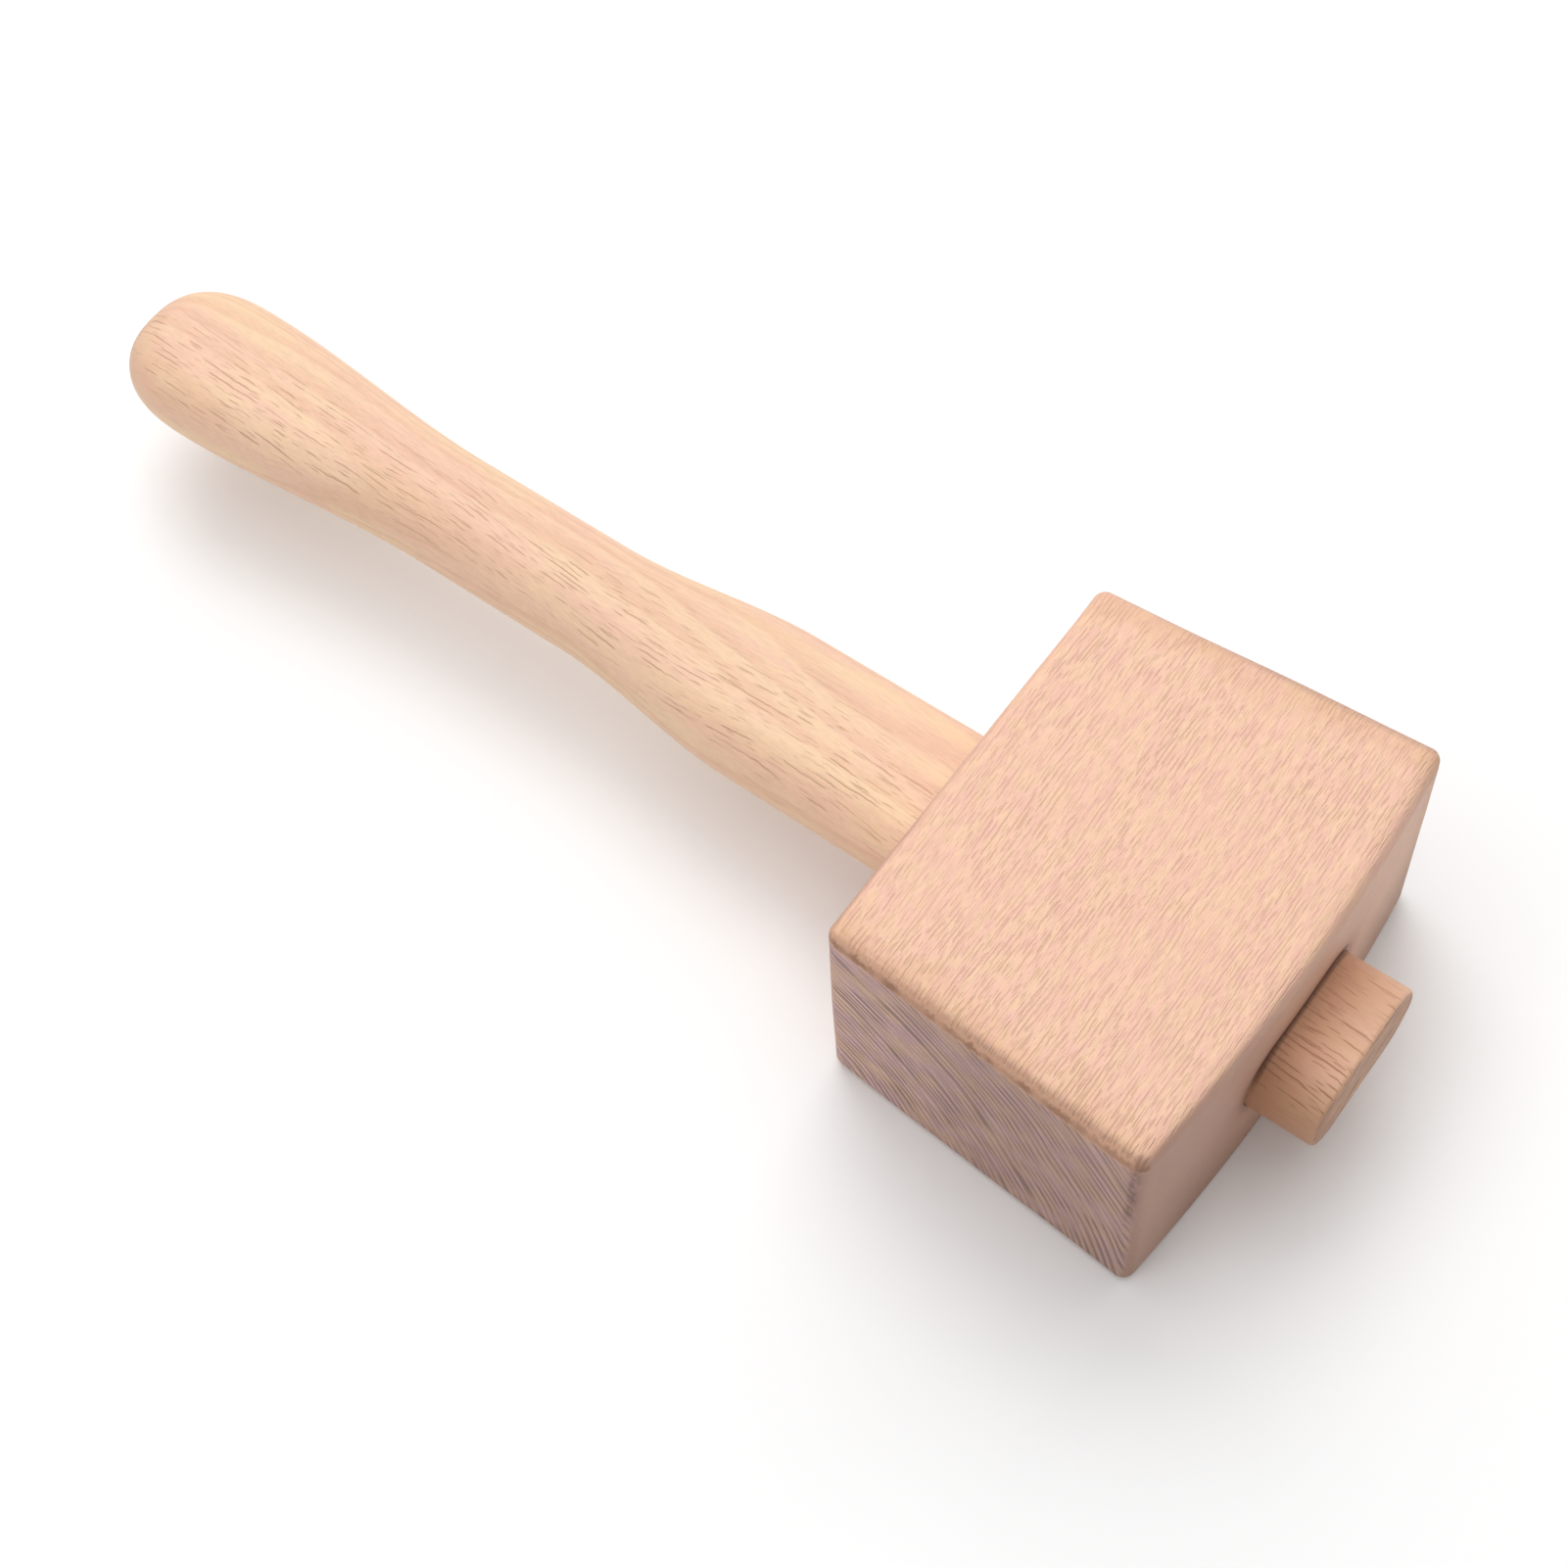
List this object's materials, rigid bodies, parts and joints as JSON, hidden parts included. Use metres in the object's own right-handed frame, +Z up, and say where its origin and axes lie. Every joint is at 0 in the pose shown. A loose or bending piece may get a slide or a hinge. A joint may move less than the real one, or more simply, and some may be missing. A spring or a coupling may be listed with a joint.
{
  "type": "wooden mallet",
  "caption": "Solid wooden mallet: block head with splayed plain striking faces on a waisted handle whose taper tenon passes through the head and stands out as a stub.",
  "frame": {"origin": "centre of the flat wide side of the head that the mallet lies on", "axes": "+X along the handle, from the grip towards the stub; +Y across, out of one striking face; +Z up, out of the head's upper wide side"},
  "size_m": [0.2818, 0.095, 0.053],
  "materials": {
    "head_wood": "bare sanded beech",
    "handle_wood": "bare sanded beech"
  },
  "bodies": {
    "root": {"head": "head_wood", "handle": "handle_wood"}
  },
  "joints": []
}
